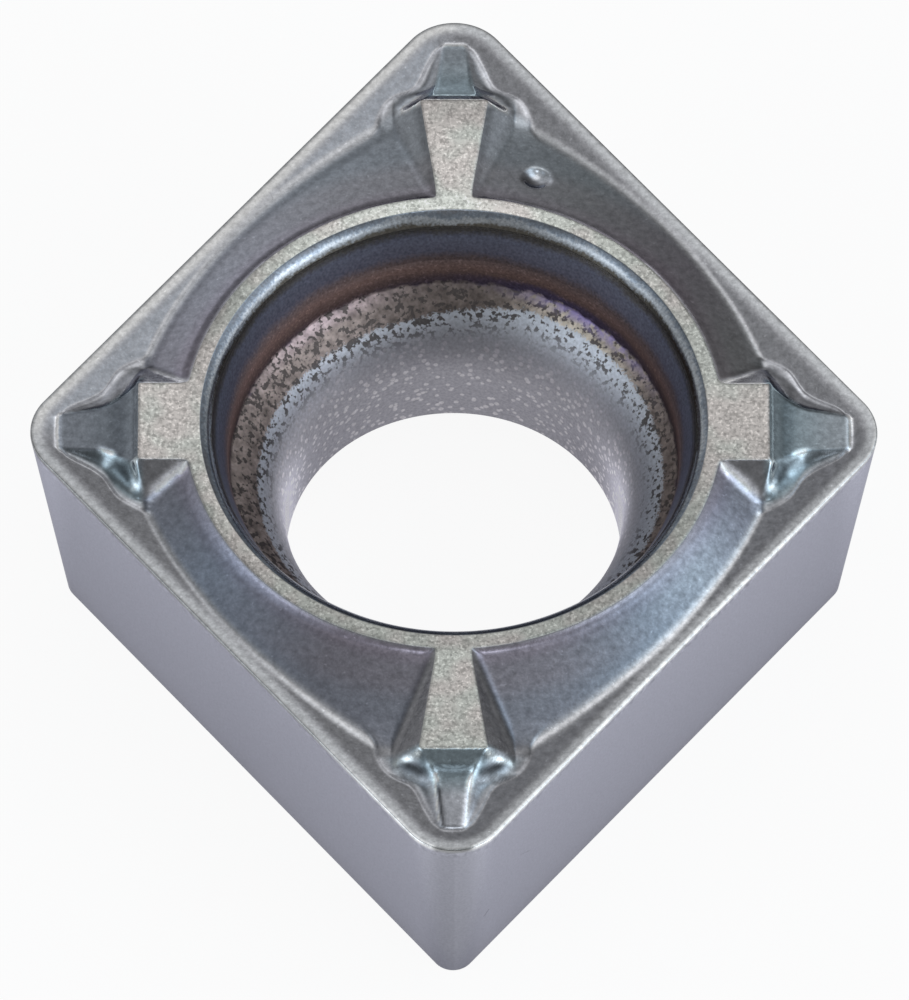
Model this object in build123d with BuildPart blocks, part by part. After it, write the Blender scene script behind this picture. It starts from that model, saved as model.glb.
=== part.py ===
from build123d import *
from math import cos, radians, sin, tan
import os

os.makedirs("parts", exist_ok=True)

# Indexable turning insert of sintered carbide: an 80 degree rhombus with a seven degree flank,
# a moulded chipbreaker on the top face and a countersunk hole for the clamping screw.
# The origin is the middle of the flat bottom face, +Z points to the top face.
# The two 80 degree corners lie on the Y axis, the two 100 degree corners on the X axis.
# Lengths are millimetres and angles are degrees.

# Blank
inscribed_dia = 9.525
thickness = 3.97
corner_angle = 80.0
corner_r = 0.8
flank_angle = 7.0

# Cutting land and rake face behind it
land_w = 0.17
rake_angle = 12.0
rake_depth = 0.15
rake_corner_r = 0.06

# Raised seat: the ring around the hole and the four spokes share this height above the edge
seat_rise = 0.28
ring_outer_r = 3.78
ring_inner_r = 3.578
ring_wall_angle = 51.0

# Chip floor that falls from the ring to the rake face
ring_step = 0.05
floor_top_r = 3.82
floor_acute_r = 5.50
floor_obtuse_r = 4.42
floor_side_r = 5.21
floor_side_angle = 46.0
floor_top_angle = 45.0

# Spokes and the slope of their side and end walls
spoke_corner_r = 0.05
acute_wall_angle = 49.0
acute_spoke_end = 5.445
acute_spoke_end_w = 0.924
acute_spoke_root_w = 0.342
obtuse_wall_angle = 54.0
obtuse_spoke_end = 4.44
obtuse_spoke_w = 1.216

# Noses that run from the end of each spoke towards the corner, with an ear to each side.
# Each section gives its distance past the spoke's end, the half width of the crest,
# the drop of the crest below the seat and the half width of the foot on the rake face.
acute_nose = (
    (-0.445, 0.840, 0.0, 1.165),
    (-0.115, 0.590, 0.0, 1.045),
    (0.0, 0.455, 0.0, 1.015),
    (0.175, 0.325, 0.160, 0.925),
    (0.295, 0.262, 0.195, 0.765),
    (0.425, 0.225, 0.217, 0.550),
    (0.735, 0.185, 0.255, 0.405),
    (1.115, 0.145, 0.295, 0.200),
)
obtuse_nose = (
    (-0.29, 0.945, 0.0, 1.315),
    (-0.02, 0.710, 0.0, 1.230),
    (0.08, 0.610, 0.080, 1.180),
    (0.23, 0.485, 0.168, 1.080),
    (0.42, 0.380, 0.207, 0.820),
    (0.58, 0.342, 0.232, 0.630),
    (0.88, 0.302, 0.262, 0.460),
    (1.12, 0.275, 0.282, 0.290),
)
# Share of the side's width and of its drop at which the hollow side bends
nose_bend_across = 0.5
nose_bend_drop = 0.71

# Screw hole, from the lip of the ring down to the relieved bottom edge
lip_r = 3.408
lip_depth = 0.157
wall_top_r = 3.20
wall_top_depth = 0.73
seat_r = 3.16
seat_depth = 1.23
screw_bore_r = 2.375
screw_bore_top = 1.66
screw_bore_bottom = 0.80
relief_angle = 38.0

# Round dimple in the chip floor beside one spoke
dimple_x = 1.22
dimple_y = 4.27
dimple_ball_r = 0.30
dimple_ball_rise = 0.3175

# Values that follow from the ones above
half_angle = corner_angle / 2.0
half_ic = inscribed_dia / 2.0
edge_z = thickness
seat_z = edge_z + seat_rise
rake_z = edge_z - rake_depth
rake_inset = land_w + rake_depth / tan(radians(rake_angle))
floor_top_z = seat_z - ring_step
relief_r = screw_bore_r + screw_bore_bottom * tan(radians(relief_angle))
cut_over = 0.5
foot_sink = 0.05
spoke_lap = 0.25


def acute_y(inset):
    return (half_ic - inset) / sin(radians(half_angle))


def obtuse_x(inset):
    return (half_ic - inset) / cos(radians(half_angle))


def rake_height(x, y):
    """Height of the rake face above the bottom, x and y being lengths without a sign."""
    inset = half_ic - x * cos(radians(half_angle)) - y * sin(radians(half_angle))
    return edge_z - min(max(inset - land_w, 0) * tan(radians(rake_angle)), rake_depth)


# Blank: the rounded rhombus of the cutting edge drawn in towards the smaller bottom face
with BuildPart() as blank:
    with BuildSketch(Plane.XY.offset(edge_z)) as edge_outline:
        Polygon(
            (0, acute_y(0)),
            (-obtuse_x(0), 0),
            (0, -acute_y(0)),
            (obtuse_x(0), 0),
            align=None,
        )
        fillet(edge_outline.vertices(), radius=corner_r)
    extrude(amount=-thickness, taper=flank_angle)

# Space above the edge that the raised forms may fill
with BuildPart() as envelope:
    add(blank.part)
    with BuildSketch(Plane.XY.offset(edge_z)) as cover_outline:
        add(edge_outline.sketch)
    extrude(amount=seat_rise + cut_over)

# Chip floor: a ruled hill from four shallow arcs up to the foot of the ring
side_x = floor_side_r * cos(radians(floor_side_angle))
side_y = floor_side_r * sin(radians(floor_side_angle))
top_mid = floor_top_r * cos(radians(floor_top_angle))
with BuildPart() as chip_floor:
    with BuildSketch(Plane.XY.offset(rake_z)) as floor_base:
        with BuildLine() as floor_base_line:
            ThreePointArc((floor_obtuse_r, 0), (side_x, side_y), (0, floor_acute_r))
            ThreePointArc((0, floor_acute_r), (-side_x, side_y), (-floor_obtuse_r, 0))
            ThreePointArc((-floor_obtuse_r, 0), (-side_x, -side_y), (0, -floor_acute_r))
            ThreePointArc((0, -floor_acute_r), (side_x, -side_y), (floor_obtuse_r, 0))
        make_face()
    with BuildSketch(Plane.XY.offset(floor_top_z)) as floor_top:
        with BuildLine() as floor_top_line:
            ThreePointArc((floor_top_r, 0), (top_mid, top_mid), (0, floor_top_r))
            ThreePointArc((0, floor_top_r), (-top_mid, top_mid), (-floor_top_r, 0))
            ThreePointArc((-floor_top_r, 0), (-top_mid, -top_mid), (0, -floor_top_r))
            ThreePointArc((0, -floor_top_r), (top_mid, -top_mid), (floor_top_r, 0))
        make_face()
    loft(ruled=True)
    add(envelope.part, mode=Mode.INTERSECT)

# Spokes: flat seats with sloping walls that widen down to the chip floor
spoke_height = seat_z - rake_z + foot_sink
spoke_root = ring_outer_r - spoke_lap
with BuildPart() as spokes:
    for side in (1, -1):
        with BuildSketch(Plane.XY.offset(seat_z)) as acute_spoke:
            Polygon(
                (-acute_spoke_root_w / 2, side * spoke_root),
                (acute_spoke_root_w / 2, side * spoke_root),
                (acute_spoke_end_w / 2, side * acute_spoke_end),
                (-acute_spoke_end_w / 2, side * acute_spoke_end),
                align=None,
            )
            fillet(acute_spoke.vertices(), radius=spoke_corner_r)
        extrude(amount=-spoke_height, taper=-acute_wall_angle)
        with BuildSketch(Plane.XY.offset(seat_z)) as obtuse_spoke:
            Polygon(
                (side * spoke_root, -obtuse_spoke_w / 2),
                (side * spoke_root, obtuse_spoke_w / 2),
                (side * obtuse_spoke_end, obtuse_spoke_w / 2),
                (side * obtuse_spoke_end, -obtuse_spoke_w / 2),
                align=None,
            )
            fillet(obtuse_spoke.vertices(), radius=spoke_corner_r)
        extrude(amount=-spoke_height, taper=-obtuse_wall_angle)
    add(envelope.part, mode=Mode.INTERSECT)

# Noses: the crest falls from the spoke end to the tip, the hollow sides spread to the ears
nose_foot_z = rake_z - foot_sink


def nose_section(crest_half, crest_z, foot_half, foot_z):
    """Crest, bend of the hollow side, foot and sunk skirt, the same to both sides."""
    bend_half = crest_half + (foot_half - crest_half) * nose_bend_across
    bend_z = crest_z + (foot_z - crest_z) * nose_bend_drop
    skirt_half = foot_half + foot_z - nose_foot_z
    Polygon(
        (-crest_half, crest_z),
        (crest_half, crest_z),
        (bend_half, bend_z),
        (foot_half, foot_z),
        (skirt_half, nose_foot_z),
        (-skirt_half, nose_foot_z),
        (-foot_half, foot_z),
        (-bend_half, bend_z),
        align=None,
    )


with BuildPart() as acute_nose_loft:
    for side in (1, -1):
        for past_end, crest_half, crest_drop, foot_half in acute_nose:
            along = acute_spoke_end + past_end
            with BuildSketch(Plane.XZ.offset(-side * along)):
                nose_section(crest_half, seat_z - crest_drop, foot_half, rake_height(foot_half, along))
        loft(ruled=True)

with BuildPart() as obtuse_nose_loft:
    for side in (1, -1):
        for past_end, crest_half, crest_drop, foot_half in obtuse_nose:
            along = obtuse_spoke_end + past_end
            with BuildSketch(Plane.YZ.offset(side * along)):
                nose_section(crest_half, seat_z - crest_drop, foot_half, rake_height(along, foot_half))
        loft(ruled=True)

# The side walls of the spokes run on over the noses and cut their ears back
acute_widening = (acute_spoke_end_w - acute_spoke_root_w) / (acute_spoke_end - spoke_root)
acute_reach = acute_y(0)
acute_reach_w = acute_spoke_end_w + acute_widening * (acute_reach - acute_spoke_end)
with BuildPart() as acute_noses:
    with BuildSketch(Plane.XY.offset(seat_z)):
        for side in (1, -1):
            Polygon(
                (-acute_spoke_root_w / 2, side * spoke_root),
                (acute_spoke_root_w / 2, side * spoke_root),
                (acute_reach_w / 2, side * acute_reach),
                (-acute_reach_w / 2, side * acute_reach),
                align=None,
            )
    extrude(amount=-spoke_height, taper=-acute_wall_angle)
    add(acute_nose_loft.part, mode=Mode.INTERSECT)

with BuildPart() as obtuse_noses:
    with BuildSketch(Plane.XY.offset(seat_z)):
        Rectangle(2 * obtuse_x(0), obtuse_spoke_w)
    extrude(amount=-spoke_height, taper=-obtuse_wall_angle)
    add(obtuse_nose_loft.part, mode=Mode.INTERSECT)

# The whole insert is one sintered piece
with BuildPart() as insert_body:
    add(blank.part)

    # Rake face: a shallow dish behind the cutting land
    with BuildSketch(Plane.XY.offset(edge_z)) as land_inner:
        Polygon(
            (0, acute_y(land_w)),
            (-obtuse_x(land_w), 0),
            (0, -acute_y(land_w)),
            (obtuse_x(land_w), 0),
            align=None,
        )
        fillet(land_inner.vertices(), radius=corner_r - land_w)
    with BuildSketch(Plane.XY.offset(rake_z)) as rake_inner:
        Polygon(
            (0, acute_y(rake_inset)),
            (-obtuse_x(rake_inset), 0),
            (0, -acute_y(rake_inset)),
            (obtuse_x(rake_inset), 0),
            align=None,
        )
        fillet(rake_inner.vertices(), radius=rake_corner_r)
    loft(ruled=True, mode=Mode.SUBTRACT)

    # Chip floor, noses and spokes stand in the dish
    add(chip_floor.part)
    add(acute_noses.part)
    add(obtuse_noses.part)
    add(spokes.part)

    # Flat ring around the hole, with a sloping outer wall
    with BuildSketch(Plane.XY.offset(seat_z)) as ring_outline:
        Circle(ring_outer_r)
    extrude(amount=rake_z - seat_z, taper=-ring_wall_angle)

    # Screw hole: rounded seat for the screw head, straight bore, relieved bottom edge
    with BuildSketch(Plane.XZ) as hole_profile:
        with BuildLine() as hole_line:
            Polyline(
                (0, 0),
                (relief_r, 0),
                (screw_bore_r, screw_bore_bottom),
                (screw_bore_r, screw_bore_top),
            )
            TangentArc((screw_bore_r, screw_bore_top), (seat_r, seat_z - seat_depth), tangent=(0, 1))
            Polyline(
                (seat_r, seat_z - seat_depth),
                (wall_top_r, seat_z - wall_top_depth),
                (lip_r, seat_z - lip_depth),
                (ring_inner_r, seat_z),
                (ring_inner_r, seat_z + cut_over),
                (0, seat_z + cut_over),
                (0, 0),
            )
        make_face()
    revolve(axis=Axis.Z, mode=Mode.SUBTRACT)

    # Dimple in the chip floor
    with Locations((dimple_x, dimple_y, edge_z + dimple_ball_rise)):
        Sphere(dimple_ball_r, mode=Mode.SUBTRACT)

insert_body.part.label = "insert_body"
export_step(insert_body.part, "parts/insert_body.step")
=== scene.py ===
import math
from types import SimpleNamespace

import bpy
import numpy as np
from mathutils import Matrix


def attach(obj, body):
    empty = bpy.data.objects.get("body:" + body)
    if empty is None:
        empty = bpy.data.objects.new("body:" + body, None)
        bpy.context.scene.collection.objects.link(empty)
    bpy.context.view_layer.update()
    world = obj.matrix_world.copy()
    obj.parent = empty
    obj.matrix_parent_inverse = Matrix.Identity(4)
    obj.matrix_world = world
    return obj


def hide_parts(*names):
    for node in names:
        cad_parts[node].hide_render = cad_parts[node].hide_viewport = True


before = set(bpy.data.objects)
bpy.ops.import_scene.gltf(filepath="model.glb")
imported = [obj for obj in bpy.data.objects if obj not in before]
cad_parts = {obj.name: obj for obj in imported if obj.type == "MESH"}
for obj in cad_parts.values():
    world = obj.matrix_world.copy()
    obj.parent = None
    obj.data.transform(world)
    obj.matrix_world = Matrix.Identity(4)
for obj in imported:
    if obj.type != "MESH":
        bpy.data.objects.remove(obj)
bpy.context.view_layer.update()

# Coated carbide turning insert, dressed in one finer mesh of the same form.
# Heights in this file are millimetres above the plane of the cutting edge, MM turns them into metres.
MM = 0.001
NODE = "insert_body"

# Blank and its edges
HALF_IC = 9.525 / 2
CORNER_R = 0.8
THICKNESS = 3.97
FLANK_ANGLE = 7.0
TAN_FLANK = math.tan(math.radians(FLANK_ANGLE))
HALF_CORNER = math.radians(40.0)
COS_H, SIN_H = math.cos(HALF_CORNER), math.sin(HALF_CORNER)
HONE_R = 0.025
FOOT_R = 0.035
# distance of the bottom rounding's centre inside the foot of the flank, in radii
FOOT_CENTRE = 0.88

# Chipbreaker
LAND_W = 0.17
LAND_BEND = 0.09
TAN_RAKE = math.tan(math.radians(12.0))
RAKE_DEPTH = 0.15
SEAT = 0.28
RING_OUT = 3.78
RING_SLOPE = 0.8
RING_IN = 3.578
FLOOR_R = 3.82
FLOOR_TOP = 0.23
# fall of the chip floor outwards, by the angle in degrees from the obtuse spoke
FLOOR_FALL = (
    (0, 0.50), (15, 0.465), (25, 0.425), (35, 0.385), (45, 0.332), (55, 0.288), (65, 0.250),
    (75, 0.221), (90, 0.205),
)
# place of the dimple, height of its ball's centre and the ball's radius
DIMPLE = (1.18, 4.27, 0.3175, 0.30)
DIMPLE_BLEND = 0.02
VALLEY_BLEND = 0.035
CREST_BLEND = 0.02
WALL_FILLET = 0.10
NOSE_FILLET = 0.05
RING_BLEND = 0.03
NOSE_BEND = 2.1
EAR_BLEND = 0.03
APRON_SLOPE = 0.4
TIP_SETBACK = 0.025
TIP_ROUND = 0.015
TIP_SLOPE = 1.2
TIP_BLEND = 0.02
SPOKE_LIFT = 0.0125

# Rows of the mesh: shares of a stretch, insets from the edge and distances outside the ring
AROUND = 640
BOTTOM_ROWS = (0.35, 0.7, 0.97)
FOOT_ROWS = 3
FLANK_ROWS = (0.2, 0.4, 0.6, 0.8, 0.97)
HONE_ROWS = 7
LAND_ROWS = (0.065, 0.10, 0.13, 0.16, 0.18)
CHIP_INSET = 0.20
CHIP_ROWS = 70
CHIP_GRADING = 1.25
RING_ROWS = (0.09, 0.07, 0.05, 0.025, 0.0, -0.02, -0.05, -0.1)
SEAT_STEPS = 8
HOLE_STEP = 0.22
# direction in degrees where the columns begin to stand closer at a corner, and how much closer
DENSE_OBTUSE = (17, 1.6)
DENSE_ACUTE = (77, 2.6)
DENSE_FADE = 2.5

# Spokes and noses: distances along the spoke with the half width of the top,
# its height and the half width of its foot
ACUTE = {
    "end": 5.445,
    "half": 0.462,
    "slant": 0.152,
    "wall": 0.86,
    "tip": 6.585,
    "top_half": (
        (4.9, 0.90), (5.2, 0.72), (5.35, 0.57), (5.45, 0.455), (5.53, 0.385), (5.62, 0.325),
        (5.72, 0.27), (5.83, 0.235), (6.0, 0.205), (6.3, 0.175), (6.6, 0.14),
    ),
    "top_height": (
        (5.3, 0.30), (5.445, 0.27), (5.53, 0.19), (5.61, 0.128), (5.70, 0.085), (5.82, 0.055),
        (6.3, 0.005), (6.6, -0.025),
    ),
    "foot_half": (
        (4.9, 1.25), (5.05, 1.13), (5.19, 1.06), (5.33, 1.045), (5.47, 1.01), (5.59, 0.95),
        (5.68, 0.865), (5.74, 0.765), (5.80, 0.635), (5.87, 0.55), (5.98, 0.485), (6.18, 0.405),
        (6.36, 0.325), (6.50, 0.245), (6.57, 0.17), (6.62, 0.14),
    ),
}
OBTUSE = {
    "end": 4.44,
    "half": 0.608,
    "slant": 0.0,
    "wall": 0.72,
    "tip": 5.585,
    "top_half": (
        (4.1, 0.98), (4.3, 0.84), (4.42, 0.71), (4.52, 0.61), (4.6, 0.545), (4.68, 0.48), (4.8, 0.405),
        (4.95, 0.35), (5.1, 0.33), (5.3, 0.305), (5.6, 0.27),
    ),
    "top_height": (
        (4.3, 0.30), (4.44, 0.27), (4.52, 0.19), (4.62, 0.125), (4.75, 0.08), (5.0, 0.04), (5.3, 0.01),
        (5.6, -0.015),
    ),
    "foot_half": (
        (4.1, 1.33), (4.3, 1.27), (4.4, 1.235), (4.55, 1.16), (4.67, 1.08), (4.78, 0.96), (4.86, 0.82),
        (4.93, 0.71), (5.02, 0.63), (5.2, 0.52), (5.32, 0.46), (5.45, 0.38), (5.53, 0.30), (5.60, 0.22),
    ),
}

# Screw hole, as radius and height
LIP_MIDDLE = (3.478, 0.212)
LIP = (3.408, 0.11)
WALL_TOP = (3.20, -0.45)
SEAT_FOOT = (3.16, -0.95)
BORE_R = 2.375
BORE_TOP = -2.31
BORE_FOOT = -3.17
RELIEF_R = 3.0
RELIEF_RIM = 0.1
RING_RIM = 0.06
UPPER_ROUNDING = (0.06, 0.30, 0.05, 0.10, 0.07)
LOWER_ROUNDING = (0.03, 0.02)


def polar_outline(theta, inset):
    """Distance from the axis to the rounded rhombus drawn in by inset, in each direction."""
    half = HALF_IC - inset
    corner = max(CORNER_R - inset, 0.02)
    c, s = np.abs(np.cos(theta)), np.abs(np.sin(theta))
    radius = half / (c * COS_H + s * SIN_H)
    acute, obtuse = (half - corner) / SIN_H, (half - corner) / COS_H
    acute_from = math.atan2(acute + corner * SIN_H, corner * COS_H)
    obtuse_to = math.atan2(corner * SIN_H, obtuse + corner * COS_H)
    angle = np.arctan2(s, c)
    near_acute = acute * s + np.sqrt(np.maximum(corner**2 - (acute * c) ** 2, 0))
    near_obtuse = obtuse * c + np.sqrt(np.maximum(corner**2 - (obtuse * s) ** 2, 0))
    radius = np.where(angle > acute_from, near_acute, radius)
    return np.where(angle < obtuse_to, near_obtuse, radius)


def edge_distance(x, y):
    """How far a point of the top face lies inside the cutting edge."""
    ax, ay = np.abs(x), np.abs(y)
    distance = HALF_IC - (ax * COS_H + ay * SIN_H)
    acute, obtuse = (HALF_IC - CORNER_R) / SIN_H, (HALF_IC - CORNER_R) / COS_H
    in_acute = (ay - acute) * COS_H > ax * SIN_H
    in_obtuse = (ax - obtuse) * SIN_H > ay * COS_H
    distance = np.where(in_acute, CORNER_R - np.hypot(ax, ay - acute), distance)
    return np.where(in_obtuse, CORNER_R - np.hypot(ax - obtuse, ay), distance)


def ramp(distance, blend):
    """Zero below zero and distance above it, rounded over blend to each side."""
    t = np.clip(distance + blend, 0, 2 * blend)
    return np.where(distance > blend, distance, t * t / (4 * blend))


def smooth_step(x, low, high):
    t = np.clip((x - low) / (high - low), 0, 1)
    return t * t * (3 - 2 * t)


def smooth_max(a, b, blend):
    h = np.maximum(blend - np.abs(a - b), 0) / blend
    return np.maximum(a, b) + h * h * blend / 4


def smooth_min(a, b, blend):
    return -smooth_max(-a, -b, blend)


def curve(points, x):
    """A smooth curve through the points, without overshoot."""
    xs = np.array([p[0] for p in points])
    ys = np.array([p[1] for p in points])
    step = np.diff(xs)
    slope = np.diff(ys) / step
    inner = (slope[:-1] * step[1:] + slope[1:] * step[:-1]) / (step[1:] + step[:-1])
    inner = np.where(slope[:-1] * slope[1:] > 0, inner, 0)
    tangent = np.concatenate([[slope[0]], inner, [slope[-1]]])
    k = np.clip(np.searchsorted(xs, x) - 1, 0, len(xs) - 2)
    h = step[k]
    t = np.clip((x - xs[k]) / h, 0, 1)
    start = (1 + 2 * t) * (1 - t) ** 2 * ys[k] + t * (1 - t) ** 2 * h * tangent[k]
    return start + t * t * (3 - 2 * t) * ys[k + 1] + t * t * (t - 1) * h * tangent[k + 1]


def rake_height(edge):
    return -np.minimum(ramp(edge - LAND_W, LAND_BEND) * TAN_RAKE, RAKE_DEPTH)


def spoke_height(along, across, shape, foot_edge):
    """Height of a spoke with its nose, its side walls and the apron at its foot."""
    wide = curve(shape["top_half"], along)
    foot = curve(shape["foot_half"], along)
    high = np.where(along < shape["end"], SEAT, curve(shape["top_height"], along))
    low = rake_height(foot_edge(foot, along))
    t = (across - wide) / np.maximum(foot - wide, 0.01)
    beyond = np.maximum(t - 1, 0) * APRON_SLOPE
    fall = 1 - (1 - np.clip(t, 0, 1)) ** NOSE_BEND
    nose = high + (low - high) * fall - beyond
    side = across - shape["half"] - (along - shape["end"]) * shape["slant"]
    side = np.maximum(SEAT - ramp(side, CREST_BLEND) * shape["wall"], low - beyond)
    front = high - ramp(along - shape["tip"] + TIP_SETBACK, TIP_ROUND) * TIP_SLOPE
    return smooth_min(smooth_min(nose, side, EAR_BLEND), front, TIP_BLEND) + SPOKE_LIFT


def ground_height(x, y):
    """Height of the rake face and of the chip floor at a point, without the ring and the spokes."""
    floor_fall = curve(FLOOR_FALL, np.degrees(np.arctan2(np.abs(y), np.abs(x))))
    return rake_height(edge_distance(x, y)), FLOOR_TOP - (np.hypot(x, y) - FLOOR_R) * floor_fall


def form_height(x, y):
    """Height of the four spokes with their noses."""
    ax, ay = np.abs(x), np.abs(y)
    acute = spoke_height(ay, ax, ACUTE, edge_distance)
    obtuse = spoke_height(ax, ay, OBTUSE, lambda foot, along: edge_distance(along, foot))
    return np.maximum(acute, obtuse)


def chip_height(x, y):
    """Height of the moulded top face."""
    rake, floor = ground_height(x, y)
    ring = SEAT - ramp(np.hypot(x, y) - RING_OUT, CREST_BLEND) * RING_SLOPE
    on_nose = np.maximum(smooth_step(np.abs(y), 5.2, 5.5), smooth_step(np.abs(x), 4.2, 4.45))
    height = smooth_max(rake, floor, VALLEY_BLEND)
    height = smooth_max(height, form_height(x, y), WALL_FILLET + (NOSE_FILLET - WALL_FILLET) * on_nose)
    height = smooth_max(height, ring, RING_BLEND)
    height = np.minimum(height, SEAT)

    middle_x, middle_y, ball_z, ball_r = DIMPLE
    dx, dy = x - middle_x, y - middle_y
    ball = ball_z - np.sqrt(np.maximum(ball_r**2 - dx * dx - dy * dy, 0))
    in_ball = dx * dx + dy * dy < ball_r**2
    return np.where(in_ball, smooth_min(height, ball, DIMPLE_BLEND), height)


def direction_samples(count):
    """Directions round the axis, closer together at the four corners."""
    fine = np.linspace(0, 2 * math.pi, 7201)
    fold = np.abs((fine + math.pi / 2) % math.pi - math.pi / 2)
    fade = math.radians(DENSE_FADE)
    at_obtuse = 1 / (1 + np.exp((fold - math.radians(DENSE_OBTUSE[0])) / fade))
    at_acute = 1 / (1 + np.exp((math.radians(DENSE_ACUTE[0]) - fold) / fade))
    density = 1.0 + DENSE_OBTUSE[1] * at_obtuse + DENSE_ACUTE[1] * at_acute
    total = np.concatenate([[0], np.cumsum((density[1:] + density[:-1]) / 2)])
    return np.interp(np.arange(count) / count * total[-1], total, fine)


def rounded(points, radii, steps):
    """A profile through the points with its corners rounded."""
    out = [points[0]]
    for i in range(1, len(points) - 1):
        p = np.array(points[i])
        a, b = np.array(points[i - 1]) - p, np.array(points[i + 1]) - p
        a, b = a / np.linalg.norm(a), b / np.linalg.norm(b)
        half = math.acos(float(np.clip(a @ b, -1, 1))) / 2
        reach = radii[i - 1] / math.tan(half)
        for k in range(steps + 1):
            t = k / steps
            start, end = p + a * reach, p + b * reach
            out.append(tuple((1 - t) ** 2 * start + 2 * t * (1 - t) * p + t * t * end))
    out.append(points[-1])
    return out


def split_long(points, longest):
    """Adds points to a profile so that no step of it is longer than the given length."""
    out = [points[0]]
    for a, b in zip(points[:-1], points[1:]):
        steps = max(1, math.ceil(math.dist(a, b) / longest))
        out += [tuple(np.array(a) + (np.array(b) - np.array(a)) * k / steps) for k in range(1, steps + 1)]
    return out


def hole_profile():
    """From the inner edge of the ring down to the relieved bottom edge."""
    spread = SEAT_FOOT[0] - BORE_R
    drop = SEAT_FOOT[1] - BORE_TOP
    radius = (spread**2 + drop**2) / (2 * spread)
    sweep = math.asin(drop / radius)
    seat = []
    for k in range(SEAT_STEPS + 1):
        angle = sweep * (1 - k / SEAT_STEPS)
        seat.append((BORE_R + radius * (1 - math.cos(angle)), BORE_TOP + radius * math.sin(angle)))
    rim = [(RING_IN + RING_RIM, SEAT), (RING_IN, SEAT)]
    upper = rounded(rim + [LIP_MIDDLE, LIP, WALL_TOP, seat[0], seat[1]], UPPER_ROUNDING, 4)
    foot = [(BORE_R, BORE_FOOT), (RELIEF_R, -THICKNESS), (RELIEF_R + RELIEF_RIM, -THICKNESS)]
    lower = rounded([seat[-1]] + foot, LOWER_ROUNDING, 3)
    return split_long(upper + seat[2:-1] + lower, HOLE_STEP)


def body_mesh(theta):
    """The whole closed skin as rows of points, from the bottom face round to the hole, each with its zone."""
    c, s = np.cos(theta), np.sin(theta)
    rows, zones = [], []

    def add(zone, radius, height):
        radius = np.broadcast_to(radius, theta.shape)
        height = np.broadcast_to(height, theta.shape)
        rows.append(np.stack([radius * c, radius * s, height], 1))
        zones.append(zone)

    foot_inset = THICKNESS * TAN_FLANK
    for t in BOTTOM_ROWS:
        inner, outer = RELIEF_R + RELIEF_RIM, polar_outline(theta, foot_inset + FOOT_R)
        add("flank", inner + (outer - inner) * t, -THICKNESS)
    for step in range(1, FOOT_ROWS + 1):
        angle = math.radians(90 - FLANK_ANGLE) * step / FOOT_ROWS
        inset = foot_inset + FOOT_R * (FOOT_CENTRE - math.sin(angle))
        add("flank", polar_outline(theta, inset), -THICKNESS + FOOT_R * (1 - math.cos(angle)))
    for t in FLANK_ROWS:
        depth = (THICKNESS - FOOT_R) * (1 - t)
        add("flank", polar_outline(theta, depth * TAN_FLANK), -depth)
    hone_centre = HONE_R * (TAN_FLANK + 1 / math.cos(math.radians(FLANK_ANGLE)))
    for step in range(HONE_ROWS):
        angle = math.radians(90 + FLANK_ANGLE) * (1 - step / (HONE_ROWS - 1))
        inset = hone_centre - HONE_R * math.sin(angle)
        add("hone", polar_outline(theta, inset), -HONE_R * (1 - math.cos(angle)))

    def add_top(radius):
        add("top", radius, chip_height(radius * c, radius * s))

    for inset in LAND_ROWS:
        add_top(polar_outline(theta, inset))
    outer, inner = polar_outline(theta, CHIP_INSET), np.full(theta.shape, RING_OUT + RING_ROWS[0])
    for k in range(CHIP_ROWS):
        t = (k / CHIP_ROWS) ** CHIP_GRADING
        add_top(outer + (inner - outer) * t)
    for outside in RING_ROWS:
        add_top(RING_OUT + outside)
    for radius, height in hole_profile():
        add("hole", radius, height)
    return np.stack(rows), zones


def add_object(name, data):
    piece = bpy.data.objects.new(name, data)
    bpy.context.scene.collection.objects.link(piece)
    return piece


def make_mesh(name, rows):
    count, around = rows.shape[:2]
    verts = rows.reshape(-1, 3).copy()
    verts[:, 2] += THICKNESS
    verts *= MM
    i = np.arange(count)[:, None] * around
    j = np.arange(around)[None, :]
    after_i = (np.arange(count)[:, None] + 1) % count * around
    after_j = (j + 1) % around
    quads = np.stack([i + j, i + after_j, after_i + after_j, after_i + j], 2).reshape(-1, 4)
    mesh = bpy.data.meshes.new(name)
    mesh.from_pydata(verts.tolist(), [], quads.tolist())
    mesh.polygons.foreach_set("use_smooth", np.ones(len(quads), dtype=bool))
    mesh.update()
    return add_object(name, mesh)


# Tones of the coating, with painted light and shade in them. Each zone's reflectance is worked out at the
# vertices, grain is added in the shader.
BASE = np.array((0.275, 0.278, 0.295))
LAND_TONE = np.array((0.445, 0.458, 0.475))
LAND_WARMTH = np.array((0.03, 0.0, -0.04))
HONE_HIGHLIGHT_TINT = np.array((0.96, 0.98, 0.99))
FLANK_TONE = np.array((0.52, 0.53, 0.60))
NOSE_TINT = np.array((0.84, 1.03, 1.08))
NOSE_TINT_TIP = np.array((0.92, 1.02, 1.06))
# the tints of the noses behind, on the left and near are painted light by side
NOSE_TINT_BEHIND = np.array((1.02, 1.03, 1.04))
NOSE_TINT_LEFT = np.array((0.94, 1.01, 1.10))
NOSE_TINT_NEAR = np.array((0.98, 1.0, 1.03))
ARM_HIGHLIGHT = np.array((0.80, 0.88, 0.90))
FOOT_HIGHLIGHT_GAIN = 0.55
VALLEY_HIGHLIGHT_TINT = np.array((0.98, 0.99, 1.02))
STREAK_HIGHLIGHT_GAIN = 8.0
INNER_TINT = np.array((1.02, 0.96, 0.99))
OUTER_TINT = np.array((0.95, 1.03, 1.05))
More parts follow.
